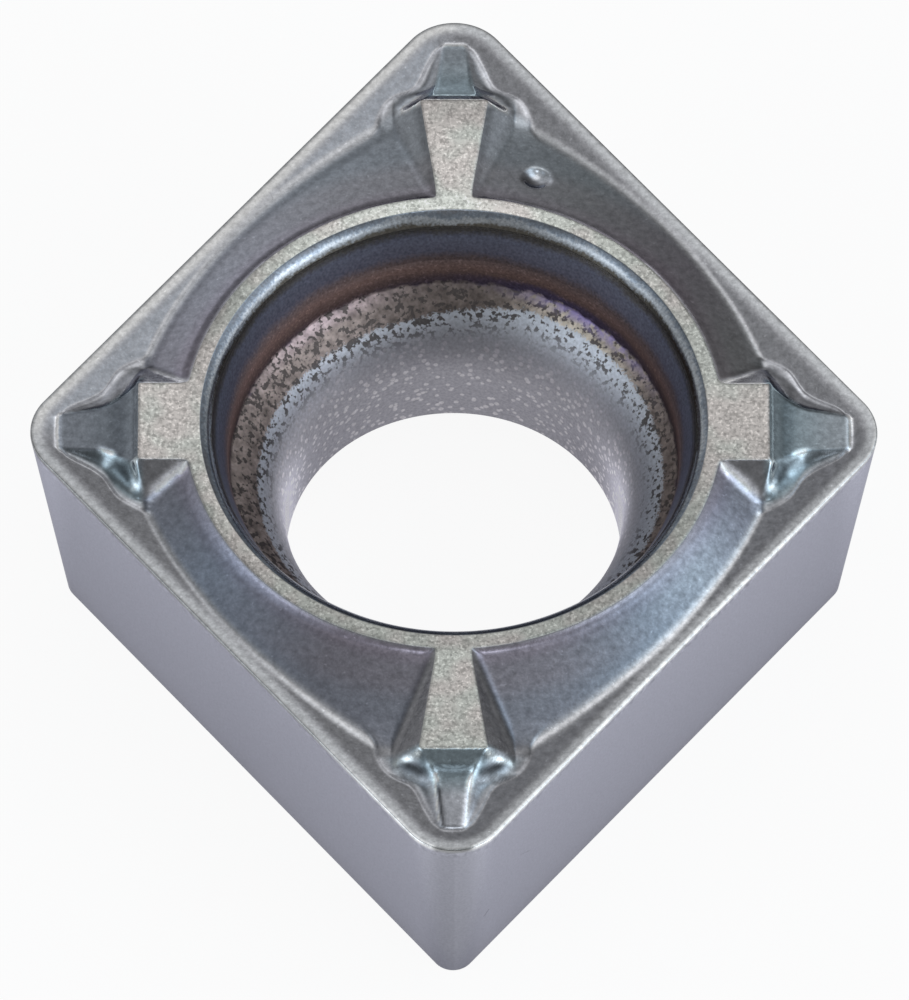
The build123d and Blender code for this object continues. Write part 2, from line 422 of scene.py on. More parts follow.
# direction in degrees with the painted light on the chip floor there, as tint and brightness
FLOOR_PAINTED_LIGHT = (
    (5, (0.95, 0.95, 0.93)),
    (20, (0.93, 0.93, 0.91)),
    (40, (0.91, 0.86, 0.90)),
    (65, (1.0, 1.02, 1.02)),
    (90, (1.06, 1.06, 1.08)),
    (115, (1.12, 1.12, 1.15)),
    (145, (1.24, 1.27, 1.36)),
    (165, (1.26, 1.24, 1.34)),
    (190, (0.98, 1.00, 1.10)),
    (215, (1.05, 1.19, 1.37)),
    (245, (0.91, 0.88, 0.96)),
    (290, (0.96, 0.95, 1.03)),
    (310, (0.84, 0.95, 1.06)),
    (325, (1.00, 1.10, 1.17)),
    (340, (0.90, 0.93, 1.03)),
    (355, (0.92, 0.96, 1.03)),
)
# direction in degrees with the painted highlight of the valley line and of the honed edge there
VALLEY_HIGHLIGHTS = (
    (20, 0.62), (45, 0.48), (75, 0.44), (90, 0.52), (105, 0.62), (118, 0.64), (135, 0.58), (150, 0.64),
    (163, 0.68), (180, 0.55), (200, 0.46), (225, 0.46), (250, 0.66), (290, 0.68), (310, 0.82),
    (325, 0.72), (340, 0.60),
)
HONE_HIGHLIGHTS = (
    (0, 0.55), (25, 0.32), (155, 0.32), (180, 0.38), (200, 0.33), (248, 0.40), (260, 0.90), (280, 0.90),
    (345, 0.90),
)
# painted light and shade by quadrant: far left, far right, near left and near right
LAND_GAIN = (1.20, 1.04, 0.93, 0.80)
RAKE_GAIN = (1.18, 1.28, 1.05, 0.77)
ACUTE_WALL_GAIN = (1.05, 1.6, 1.0, 1.15)
OBTUSE_WALL_GAIN = (3.0, 3.8, 1.05, 1.05)
ACUTE_FOOT_SHADOW = (0.1, 0.0, 0.35, 0.5)
OBTUSE_FOOT_SHADOW = 0.5
# painted highlights and painted shade as lines on the noses: start and end of each, as distance past the
# spoke's end and distance outside the spoke's half width, and the width of the line
NOSE_LINES = {
    "back": ((0.30, 0.39), (0.51, 0.06), 0.055),
    "far ear": ((0.01, 0.0), (0.05, 0.36), 0.04),
    "near hollow": ((0.12, 0.15), (0.23, -0.06), 0.085),
    "side hollow": ((0.13, 0.18), (0.22, 0.02), 0.06),
    "near streak": ((0.17, 0.29), (0.35, 0.0), 0.045),
    "right streak": ((0.29, 0.07), (0.47, -0.14), 0.05),
    "left streak": ((0.16, 0.27), (0.35, 0.04), 0.035),
    "left spot": ((0.44, -0.10), (0.45, -0.08), 0.07),
    "near arm": ((0.03, 0.04), (0.05, 0.33), 0.034),
    "side arm": ((0.03, 0.04), (0.07, 0.34), 0.020),
    "arm root": ((0.025, 0.03), (0.035, 0.04), 0.04),
    "arm end": ((0.05, 0.32), (0.07, 0.34), 0.045),
}
BEND_REACH = 0.045
DIMPLE_LIGHT_R = 0.25

# heights above the edge plane with the colour of the wall there, where the light bands at the lip are a
# painted highlight
UPPER_BORE = (
    (-0.98, (0.11, 0.088, 0.105)),
    (-0.84, (0.12, 0.085, 0.080)),
    (-0.62, (0.20, 0.135, 0.122)),
    (-0.42, (0.17, 0.130, 0.128)),
    (-0.30, (0.155, 0.157, 0.205)),
    (-0.05, (0.185, 0.200, 0.260)),
    (0.05, (0.17, 0.165, 0.150)),
    (0.13, (0.15, 0.140, 0.120)),
    (0.165, (0.40, 0.43, 0.46)),
    (0.205, (0.44, 0.47, 0.50)),
    (0.245, (0.24, 0.28, 0.33)),
    (0.30, (0.20, 0.21, 0.23)),
)
LOWER_BORE = (
    (-3.2, (0.33, 0.325, 0.36)),
    (-1.9, (0.36, 0.355, 0.39)),
    (-1.55, (0.42, 0.42, 0.45)),
    (-1.2, (0.52, 0.55, 0.60)),
    (-0.9, (0.50, 0.53, 0.58)),
)
# direction in degrees with the brightness of the ring there
RING_GAINS = (
    (0, 0.92), (30, 0.68), (60, 0.82), (90, 1.08), (120, 0.94), (150, 0.60), (180, 1.0), (210, 1.10),
    (240, 0.93), (270, 1.05), (300, 0.92), (330, 0.75),
)
# direction in degrees with the painted light there on the red-brown wall, tan band and funnel, and the
# painted highlight on the lip of the hole
HOLE_GAINS = {
    "wall_gain": (
        (0, 0.95), (30, 0.85), (60, 0.75), (90, 0.76), (120, 1.2), (150, 1.6), (180, 1.2), (270, 1.0),
    ),
    "tan_gain": (
        (0, 0.6), (30, 0.72), (60, 1.10), (80, 0.45), (100, 0.52), (120, 0.82), (150, 0.95), (180, 0.9),
        (270, 1.0),
    ),
    "funnel_gain": (
        (0, 1.05), (30, 1.12), (60, 1.15), (90, 1.0), (120, 1.1), (150, 1.42), (180, 1.3), (270, 1.0),
    ),
    "lip_highlight_gain": (
        (0, 1.0), (30, 0.70), (60, 0.82), (90, 1.3), (120, 0.83), (150, 1.3), (180, 1.2), (270, 1.0),
    ),
}
# direction and spread in degrees of the tinted places in the hole, where the pink and violet ones are painted
# highlights, and of the streaks on the chip floor
TINTED_PLACES = {"violet_place": (52, 19), "dark_violet_place": (62, 27), "pink_highlight_place": (128, 20)}
STREAKY_PLACE = (322, 24)
TAN_END_LEFT = -1.27
TAN_END_RIGHT = -1.09
TAN_LEFT = (0.36, 0.30, 0.275)
TAN_RIGHT = (0.48, 0.43, 0.36)
PINK_HIGHLIGHT = (0.62, 0.50, 0.51)
VIOLET = (0.30, 0.25, 0.47)
DARK_VIOLET = (0.095, 0.080, 0.155)
PIT = (0.10, 0.088, 0.084)
SPECKLE = (0.60, 0.58, 0.61)


def blend_tone(tone, target, weight):
    return tone + (target - tone) * weight[..., None]


def by_side(gains, x, y):
    """One of four gains by quadrant, with a soft change across the axes."""
    right, far = smooth_step(x, -0.3, 0.3), smooth_step(y, -0.3, 0.3)
    far_part = gains[0] + (gains[1] - gains[0]) * right
    near_part = gains[2] + (gains[3] - gains[2]) * right
    return near_part + (far_part - near_part) * far


def by_direction(stops, theta):
    """A value for each direction, between the given ones."""
    angles, values = zip(*stops)
    return np.interp(np.degrees(theta) % 360, angles, values, period=360)


def bell(x, width):
    return np.exp(-((x / width) ** 2))


def floor_light_and_tint(r, theta):
    """Painted light on the chip floor by direction, times the coating's tint, which changes from the ring
    outwards.
    """
    tint = np.stack([by_direction([(a, tint[k]) for a, tint in FLOOR_PAINTED_LIGHT], theta) for k in range(3)], -1)
    inner = smooth_step(r, 4.15, 3.9)[..., None]
    outer = smooth_step(r, 4.3, 4.7)[..., None]
    return tint * (1 + (INNER_TINT - 1) * inner) * (1 + (OUTER_TINT - 1) * outer)


def bend_of(x, y):
    """How far the top face bends at a point: below zero on a crest, above zero in a crease."""
    sides = chip_height(x + BEND_REACH, y) + chip_height(x - BEND_REACH, y)
    around = sides + chip_height(x, y + BEND_REACH) + chip_height(x, y - BEND_REACH)
    return (around - 4 * chip_height(x, y)) / BEND_REACH**2


def near_line(u, v, start, end, width):
    """One on the straight line between two points and zero away from it."""
    du, dv = end[0] - start[0], end[1] - start[1]
    t = np.clip(((u - start[0]) * du + (v - start[1]) * dv) / (du * du + dv * dv), 0, 1)
    return bell(np.hypot(u - start[0] - t * du, v - start[1] - t * dv), width)


def nose_place(x, y):
    """Where a point lies, in millimetres along and across its nose, and which nose and side it is on.

    The value called place is zero at the crest of the nose's side and one at its foot.
    """
    ax, ay = np.abs(x), np.abs(y)
    acute = ay > ax
    along, across = np.where(acute, ay, ax), np.where(acute, ax, ay)
    wide = np.where(acute, curve(ACUTE["top_half"], along), curve(OBTUSE["top_half"], along))
    foot = np.where(acute, curve(ACUTE["foot_half"], along), curve(OBTUSE["foot_half"], along))
    return SimpleNamespace(
        past=along - np.where(acute, ACUTE["end"], OBTUSE["end"]),
        past_tip=along - np.where(acute, ACUTE["tip"], OBTUSE["tip"]),
        outward=across - np.where(acute, ACUTE["half"], OBTUSE["half"]),
        beside=across - wide,
        spread=foot - wide,
        place=(across - wide) / np.maximum(foot - wide, 0.01),
        acute=acute,
        near=acute * (y < 0),
        far=acute * (y > 0),
        left=~acute * (x < 0),
        right=~acute * (x > 0),
        facing=~acute * smooth_step(y, -0.1, -0.3),
        behind=~acute * smooth_step(y, 0.1, 0.3),
        near_left=acute * (y < 0) * (x < 0),
        hand=np.sign(x),
    )


def nose_line(p, name):
    return near_line(p.past, p.outward, *NOSE_LINES[name])


def nose_top_gain(p):
    """Painted light and shade along the top of the noses."""
    top = 1.0 + p.far * (2.2 * smooth_step(p.past, 0.22, 0.1) + 0.9 * smooth_step(p.past, 0.55, 0.2))
    light = 0.4 * smooth_step(p.past, 0.2, 0.15) + 0.25 * bell(p.past - 0.37, 0.09)
    top = top + p.near * (light - 0.78 * bell(p.past - 0.218, 0.042))
    top = top * (1 - 0.5 * ~p.acute * bell(p.past - 0.05, 0.03))
    top = top - 0.28 * p.left * smooth_step(p.past, 0.1, 0.35)
    return top + p.right * (0.7 * smooth_step(p.past, 0.25, 0.1) - 0.15)


def nose_side_gain(p):
    """Painted light and shade on the noses' sloping sides."""
    inner = smooth_step(p.place, -0.02, 0.12) * smooth_step(p.place, 0.7, 0.35)
    outer = smooth_step(p.place, 0.45, 0.75)
    side = 1.05 - 0.2 * p.near + p.far * inner * (2.4 * smooth_step(p.past, 0.5, 0.1) + 0.4)
    side = side + p.near * inner * (0.1 + (1.1 - 0.3 * p.hand) * smooth_step(p.past, 0.3, 0.55))
    light = 0.8 + 1.6 * smooth_step(p.past, 0.2, 0.05)
    side = side + p.behind * inner * (light - 0.8 * bell(p.past - 0.3, 0.08))
    dark = 0.25 * p.far + 0.35 * p.behind * smooth_step(p.past, 0.5, 0.7)
    side = side - (dark - 0.1 * p.near) * outer
    light = 0.2 + 0.5 * smooth_step(p.past, 0.75, 0.9)
    return side + p.facing * smooth_step(p.place, 0.35, 0.55) * light


def nose_gain(p):
    """Brightness of the noses, with painted highlights on their crests and streaks and painted shade in their
    hollows.
    """
    top = nose_top_gain(p)
    gain = top + (nose_side_gain(p) - top) * smooth_step(p.place, -0.05, 0.12)
    dark = (0.5 * p.left + 0.3 * p.right) * p.facing
    gain = gain * (1 - dark * smooth_step(p.place, 0.0, 0.2) * smooth_step(p.past, 0.08, 0.16))
    gain = gain * (1 - 0.5 * p.behind * bell(p.beside - 0.06, 0.06) * smooth_step(p.past, 0.1, 0.25))
    gain = gain * (1 + 1.2 * p.near_left * bell(p.beside - 0.03, 0.03) * smooth_step(p.past, 0.4, 0.6))
    gain = gain * (1 + 1.8 * p.behind * nose_line(p, "back"))
    hollow = p.near * nose_line(p, "near hollow") + 0.8 * p.facing * nose_line(p, "side hollow")
    gain = gain * (1 - 0.8 * np.clip(hollow, 0, 1))
    gain = gain * (1 + 0.9 * p.far * nose_line(p, "far ear"))

    streak = p.near * nose_line(p, "near streak")
    streak = streak + 1.2 * p.right * p.facing * nose_line(p, "right streak")
    streak = streak + p.left * p.facing * nose_line(p, "left streak")
    streak = streak + p.left * p.facing * 3.0 * nose_line(p, "left spot")
    gain = gain * (1 + 1.5 * streak)
    crest = 0.6 + 2.4 * smooth_step(p.past, 0.55, 0.4) + 1.3 * p.hand * smooth_step(p.past, 0.3, 0.5)
    crest = p.near * crest + p.facing * 3.4 * smooth_step(p.past, 0.62, 0.5) * smooth_step(p.past, 0.28, 0.38)
    crest = crest + 0.15 * p.far
    return gain * (1 + crest * bell(p.beside, 0.045) * smooth_step(p.past, 0.1, 0.2))


# the noses' tint, where its changes behind, on the left and near are painted light by side
def nose_tint(p):
    tint = blend_tone(NOSE_TINT, NOSE_TINT_TIP, smooth_step(p.past, 0.3, 1.0))
    tint = blend_tone(tint, NOSE_TINT_BEHIND, (0.8 * p.far + p.behind) * smooth_step(p.place, 0.05, 0.3))
    tint = blend_tone(tint, NOSE_TINT_LEFT, 0.7 * p.left * smooth_step(p.place, 0.1, 0.0))
    ahead = np.maximum(0.9 * smooth_step(p.past, 0.3, 0.7), 0.6 * smooth_step(p.place, 0.1, 0.3))
    return blend_tone(tint, NOSE_TINT_NEAR, p.near * ahead)


def nose_tone(p):
    """Reflectance of the blue-green noses, with painted highlights on the arms of their ears."""
    tone = np.minimum(BASE * nose_tint(p) * nose_gain(p)[..., None], 0.9)
    arm = nose_line(p, "near arm") * p.near * 0.85
    arm = arm + nose_line(p, "side arm") * p.facing * 0.25
    ends = nose_line(p, "arm root") + nose_line(p, "arm end")
    arm = np.maximum(arm, (p.near + 0.8 * p.facing) * ends)
    return blend_tone(tone, ARM_HIGHLIGHT, 0.8 * np.clip(arm, 0, 1))


def rake_tone(x, y):
    """Reflectance of the rake face and of the lighter land along the edge, with painted light by quadrant."""
    tone = BASE * by_side(RAKE_GAIN, x, y)[..., None]
    land = smooth_step(edge_distance(x, y), LAND_W + 0.05, LAND_W - 0.07)
    warm = smooth_step(x, 0.3, -0.3) * smooth_step(y, -0.3, 0.3)
    land_tint = 1 + LAND_WARMTH * warm[..., None]
    return blend_tone(tone, LAND_TONE * land_tint * by_side(LAND_GAIN, x, y)[..., None], land)


def wall_tone(x, y, p, tint):
    """Reflectance of the spokes' side walls, with painted light by quadrant and painted shade beside the seat
    on the far side.
    """
    wall = np.where(p.acute, by_side(ACUTE_WALL_GAIN, x, y), by_side(OBTUSE_WALL_GAIN, x, y))
    beside_seat = np.where(p.acute, np.abs(x) - ACUTE["half"] - p.past * ACUTE["slant"], 1.0)
    # painted shade: a dark band on the far walls next to the seat's edge
    wall = wall * (1 - 0.35 * (y > 0) * bell(beside_seat - 0.06, 0.07))
    wall_tint = blend_tone(np.ones(3), tint, 0.8 * p.acute * (y > 0))
    return BASE * wall_tint * wall[..., None]


def dimple_light(x, y):
    """Weight of the dimple, and the painted highlights and painted shade in it."""
    u, v = (x - DIMPLE[0]) / DIMPLE_LIGHT_R, (y - DIMPLE[1]) / DIMPLE_LIGHT_R
    gain = 1.7 * bell(np.hypot(u, v - 0.25), 0.45) + 1.3 * bell(np.hypot(u - 0.65, v + 0.5), 0.3)
    gain = gain - 0.75 * bell(np.hypot(u + 0.55, v + 0.35), 0.5)
    return smooth_step(np.hypot(u, v), 1.15, 0.8), gain


def top_tone(x, y):
    """Reflectance, with painted light and shade, and roughness of the moulded top face."""
    edge, r, theta = edge_distance(x, y), np.hypot(x, y), np.arctan2(y, x)
    p = nose_place(x, y)
    rake, floor = ground_height(x, y)
    ground = np.maximum(floor, rake)
    on_floor = smooth_step(floor - rake, -0.02, 0.02)
    on_form = smooth_step(chip_height(x, y) - ground, 0.012, 0.04)
    on_nose = smooth_step(p.past, -0.12, 0.0)
    tint = floor_light_and_tint(r, theta)
    tone = blend_tone(rake_tone(x, y), BASE * tint, on_floor)
    form = blend_tone(wall_tone(x, y, p, tint), nose_tone(p), on_nose)
    tone = blend_tone(tone, form, on_form)

    # painted highlights at the nose feet and tips, along the valleys and down the side walls in view, and
    # painted shade at the wall feet
    above_ground = form_height(x, y) - ground
    facing = ~p.acute * smooth_step(y, -0.5, -0.8)
    foot_line = bell((p.place - 1.0) * p.spread, 0.045) * smooth_step(p.past_tip, 0.0, -0.06) * on_nose
    foot_line = foot_line * (1 + 0.8 * p.far)
    tip_line = bell(p.past_tip + 0.005, 0.04) * (p.place < 1.1)
    tip_line = tip_line * np.where(p.acute, np.where(y < 0, 0.5, 2.2), 3.2)
    bend = np.clip(bend_of(x, y) / 10, 0, 1)
    streak_foot = bell(above_ground, 0.07)
    wall_foot = bell(above_ground, 0.045) * smooth_step(p.past, -0.02, -0.1) * smooth_step(r, 3.92, 4.1)
    shadow = np.where(p.acute, by_side(ACUTE_FOOT_SHADOW, x, y), OBTUSE_FOOT_SHADOW)
    streak = facing * smooth_step(p.past, -0.10, -0.22)
    valley = bell(floor - rake - 0.015, 0.032) * (1 - on_form) * (1 - wall_foot)
    valley = valley * smooth_step(edge, 0.12, 0.18)
    tone = blend_tone(tone, VALLEY_HIGHLIGHT_TINT * by_direction(VALLEY_HIGHLIGHTS, theta)[..., None], 0.85 * valley)
    gain = 1 + STREAK_HIGHLIGHT_GAIN * streak * streak_foot * bend - shadow * wall_foot * (1 - streak)
    # painted light and shade round the foot of the ring, lighter near and darker far, and a painted dark line
    # on the far left floor by the valley
    far_left = smooth_step(x, 0.5, -0.5) * smooth_step(y, -0.5, 0.5)
    ring_foot = 0.3 * smooth_step(y, 0, -2) - 0.12 * smooth_step(y, 0, 2) - 0.33 * far_left
    gain = gain + ring_foot * smooth_step(r, 3.96, 3.90) * (1 - streak * streak_foot) * (1 - on_form)
    gain = gain - 0.28 * far_left * bell(floor - rake - 0.085, 0.035) * (1 - on_form)
    tone = np.minimum(tone * (gain + FOOT_HIGHLIGHT_GAIN * foot_line + tip_line)[..., None], 0.92)

    in_dimple, dimple_gain = dimple_light(x, y)
    rough = 0.21 - 0.06 * np.maximum(on_form * on_nose, in_dimple)
    return tone * (1 + dimple_gain * in_dimple)[..., None], rough


def skin_tones(rows, zones):
    """Reflectance, with painted light and shade, and roughness at every vertex."""
    tone = np.empty(rows.shape)
    rough = np.empty(rows.shape[:2])
    for k, zone in enumerate(zones):
        x, y, z = rows[k].T
        at_near_corner = smooth_step(np.abs(x), 0.5, 0.1) * (y < 0)
        at_tip = smooth_step(np.abs(x), 0.33, 0.2) * (y < 0)
        if zone == "top":
            tone[k], rough[k] = top_tone(x, y)
        elif zone == "hone":
            # painted highlight along the honed edge by direction, with painted shade at the near tip
            gain = by_direction(HONE_HIGHLIGHTS, np.arctan2(y, x)) * (1 - 0.65 * at_tip)
            tone[k], rough[k] = HONE_HIGHLIGHT_TINT * gain[:, None], 0.25
        elif zone == "flank":
            # painted light and shade: darker towards the bottom, lighter on the right and at the side noses,
            # darker at the near corner
            gain = (0.76 + 0.24 * (1 + z / THICKNESS)) * (1 + 0.04 * np.sign(x)) * (1 - 0.26 * at_near_corner)
            gain = gain * (1 + 0.18 * smooth_step(np.abs(x), 5.35, 5.75))
            tone[k], rough[k] = FLANK_TONE * gain[:, None], 0.33
        else:
            beside = np.abs(x / np.hypot(x, y)) ** 24 * smooth_step(z, -1.6, -2.3)
            tone[k], rough[k] = BASE, np.where(z > 0.0, 0.2, 0.5 - 0.28 * beside)
    return tone, rough


def add_values(mesh, name, values):
    """A value or a colour for every vertex, which the shader reads by its name."""
    colour = values.ndim == 2
    attribute = mesh.attributes.new(name, "FLOAT_COLOR" if colour else "FLOAT", "POINT")
    if colour:
        values = np.concatenate([values, np.ones((len(values), 1))], 1)
    attribute.data.foreach_set("color" if colour else "value", values.astype(np.float32).ravel())


def seat_light_and_shade(x, y):
    """Brightness of the flat ring and spokes by direction, with painted light: lighter on the far side,
    darker at the acute spokes' ends, and a painted dark rim at the left.
    """
    r = np.hypot(x, y)
    far = smooth_step(y, -3.0, 3.2)
    on_spoke = smooth_step(r, 3.75, 3.95)
    left_rim = smooth_step(x, -1.2, -2.6) * smooth_step(y, -3.2, -2.0) * smooth_step(y, 3.4, 2.4)
    left_rim = left_rim * smooth_step(np.abs(y), 0.5, 1.0) * smooth_step(r, 3.64, 3.72)
    gain = 1.30 + 0.92 * far + on_spoke * (0.28 - 0.56 * far - 0.2 * smooth_step(x, 3.5, 4.0))
    gain = gain * (1 + (by_direction(RING_GAINS, np.arctan2(y, x)) - 1) * (1 - on_spoke))
    gain = gain * (1 - smooth_step(np.abs(y), 4.7, 5.3) * (0.06 + 0.2 * far))
    return gain * (1 - 0.15 * left_rim)


def seat_green(x, y):
    """How far the flat ring and spokes lean towards green, below zero towards pink."""
    green = 0.14 * smooth_step(x, 0, 2) * smooth_step(y, 0, 1) + 0.10 * smooth_step(y, -4.4, -5.2)
    return green - 0.10 * smooth_step(np.abs(x), 3.65, 3.9) * smooth_step(np.abs(y), 0.8, 0.6)


def paint(mesh, rows, zones):
    """Writes the tones with their painted light and shade, and the places of tints, to the vertices, where
    the shader reads them.
    """
    tone, rough = skin_tones(rows, zones)
    x, y, z = rows.reshape(-1, 3).T
    direction = np.arctan2(y, x)
    degrees = np.degrees(direction) % 360
    # the pitted tan band of the seat ends lower on the left than on the right
    tan_end = TAN_END_RIGHT + (TAN_END_LEFT - TAN_END_RIGHT) * smooth_step(degrees, 62, 108)
    tan_end = tan_end + (TAN_END_RIGHT - TAN_END_LEFT) * smooth_step(degrees, 215, 330)
    streaky = bell(degrees - STREAKY_PLACE[0], STREAKY_PLACE[1])
    add_values(mesh, "tone", tone.reshape(-1, 3))
    add_values(mesh, "rough", rough.ravel())
    add_values(mesh, "above_steel", z - tan_end)
    add_values(mesh, "streaky", streaky * smooth_step(np.hypot(x, y), 3.85, 4.0))
    add_values(mesh, "seat_light_and_shade", seat_light_and_shade(x, y))
    add_values(mesh, "seat_green", seat_green(x, y))
    # weight of the painted reflection on the sides of the straight bore
    add_values(mesh, "bore_side_reflection", np.abs(np.cos(np.radians(degrees))) ** 15)
    for name, (middle, spread) in TINTED_PLACES.items():
        add_values(mesh, name, bell(degrees - middle, spread))
    for name, stops in HOLE_GAINS.items():
        add_values(mesh, name, by_direction(stops, direction))


rows, zones = body_mesh(direction_samples(AROUND))
insert = make_mesh("insert_skin", rows)
paint(insert.data, rows, zones)


# Shader
def new_material(name):
    material = bpy.data.materials.new(name)
    material.use_nodes = True
    material.node_tree.nodes.clear()
    return material, material.node_tree


class Shade:
    """Short calls for the nodes of one material."""

    def __init__(self, tree):
        self.tree = tree

    def node(self, kind):
        return self.tree.nodes.new("ShaderNode" + kind)

    def put(self, socket, value):
        if isinstance(value, bpy.types.NodeSocket):
            self.tree.links.new(value, socket)
        elif isinstance(value, (tuple, list)) and len(value) == 3 and socket.type == "RGBA":
            socket.default_value = (*value, 1)
        else:
            socket.default_value = value

    def read(self, name, output="Fac"):
        node = self.node("Attribute")
        node.attribute_name = name
        return node.outputs[output]

    def fill(self, node, *values):
        """Sets the first inputs of a node and gives its first output."""
        for socket, value in zip(node.inputs, values):
            self.put(socket, value)
        return node.outputs[0]

    def math(self, operation, *values):
        node = self.node("Math")
        node.operation = operation
        return self.fill(node, *values)

    def vector(self, operation, *values):
        node = self.node("VectorMath")
        node.operation = operation
        self.fill(node, *values)
        return node.outputs["Value" if operation in ("DOT_PRODUCT", "LENGTH") else "Vector"]

    def times(self, first, second):
        return self.math("MULTIPLY", first, second)

    def plus(self, first, second):
        return self.math("ADD", first, second)

    def linear(self, value, slope, offset):
        return self.math("MULTIPLY_ADD", value, slope, offset)

    def span(self, value, start, end):
        """Zero at start and one at end, with soft ends."""
        if start > end:
            return self.math("SUBTRACT", 1.0, self.span(value, end, start))
        node = self.node("MapRange")
        node.interpolation_type = "SMOOTHSTEP"
        return self.fill(node, value, start, end)

    def mix(self, weight, first, second, blend="MIX"):
        node = self.node("Mix")
        node.data_type = "RGBA"
        node.blend_type = blend
        self.put(node.inputs[0], weight)
        self.put(node.inputs[6], first)
        self.put(node.inputs[7], second)
        return node.outputs[2]

    def scaled(self, colour, gain):
        node = self.node("VectorMath")
        node.operation = "SCALE"
        self.put(node.inputs[0], colour)
        self.put(node.inputs["Scale"], gain)
        return node.outputs[0]

    def noise(self, place, scale, detail=2.0, distortion=0.0):
        node = self.node("TexNoise")
        self.put(node.inputs["Vector"], place)
        self.put(node.inputs["Scale"], scale)
        self.put(node.inputs["Detail"], detail)
        self.put(node.inputs["Distortion"], distortion)
        return node.outputs[0]

    def spots(self, place, scale):
        """Distance to the nearest of many scattered points."""
        node = self.node("TexVoronoi")
        self.put(node.inputs["Vector"], place)
        self.put(node.inputs["Scale"], scale)
        return node.outputs["Distance"]

    def mark(self, place, start, end, width):
        """One on a short line between two points in space and zero away from it."""
        start, end = np.array(start), np.array(end)
        half = float(np.linalg.norm(end - start)) / 2
        offset = self.vector("SUBTRACT", place, (start + end) / 2)
        along = self.vector("DOT_PRODUCT", offset, (end - start) / (2 * half))
        reach = self.math("ABSOLUTE", along)
        away = self.math("POWER", self.vector("LENGTH", offset), 2.0)
        aside = self.math("SUBTRACT", away, self.math("POWER", reach, 2.0))
        past = self.math("POWER", self.math("MAXIMUM", self.math("SUBTRACT", reach, half), 0.0), 2.0)
        return self.span(self.plus(aside, past), (1.6 * width) ** 2, (0.4 * width) ** 2)

    def mix_shader(self, weight, first, second):
        return self.fill(self.node("MixShader"), weight, first, second)

    def background(self, colour):
        return self.fill(self.node("Background"), colour)

    def ramp(self, value, stops):
        """A colour for each height, with the heights in rising order."""
        bottom, top = stops[0][0], stops[-1][0]
        node = self.node("ValToRGB")
        elements = node.color_ramp.elements
        while len(elements) < len(stops):
            elements.new(0.5)
        for element, (height, colour) in zip(elements, stops):
            element.position = (height - bottom) / (top - bottom)
            element.color = (*colour, 1)
        return self.fill(node, self.math("DIVIDE", self.math("SUBTRACT", value, bottom), top - bottom))


def seat_colour(shade, place):
    """Beige grain of the flat ring and spokes, with pale crystals and faint pink and green patches."""
    grain = shade.noise(place, 20.0, 2.0)
    patch = shade.plus(shade.noise(place, 1.7, 1.0), shade.read("seat_green"))
    base = shade.mix(shade.span(patch, 0.36, 0.64), (0.320, 0.301, 0.287), (0.297, 0.307, 0.286))
    dark = shade.linear(shade.span(grain, 0.26, 0.62), 0.52, 0.67)
    pale = shade.times(shade.span(shade.noise(place, 27.0, 1.0), 0.52, 0.72), 0.5)
    return shade.scaled(base, shade.times(shade.read("seat_light_and_shade"), shade.plus(dark, pale)))


def upper_bore_colour(shade, place, height):
    """Lip, dark blue wall and red-brown wall of the screw hole, with the lip's painted highlight and painted
    light by direction.
    """
    waver = shade.linear(shade.noise(place, 1.4), 0.16, -0.08)
    fine = shade.linear(shade.noise(place, 22.0, 1.0), 0.10, -0.05)
    level = shade.plus(height, shade.plus(waver, fine))
    bands = shade.ramp(level, UPPER_BORE)
    violet = shade.times(shade.read("dark_violet_place"), shade.span(level, -0.70, -0.85))
    bands = shade.mix(shade.times(violet, 0.8), bands, DARK_VIOLET)
    sparkle = shade.span(shade.noise(place, 17.0, 2.0), 0.56, 0.72)
    sparkle = shade.times(sparkle, shade.span(level, -0.30, -0.5))
    grain = shade.linear(shade.noise(place, 24.0, 1.0), 0.9, 0.50)
    grain = shade.linear(sparkle, 0.6, grain)
    # painted light by direction on the red-brown wall, and the painted highlight on the lip
    wall = shade.math("SUBTRACT", shade.read("wall_gain"), 1.0)
    wall = shade.linear(wall, shade.span(level, -0.25, -0.45), 1.0)
    lip = shade.math("SUBTRACT", shade.read("lip_highlight_gain"), 1.0)
    wall = shade.linear(lip, shade.span(level, 0.05, 0.13), wall)
    return shade.scaled(bands, shade.times(grain, wall))


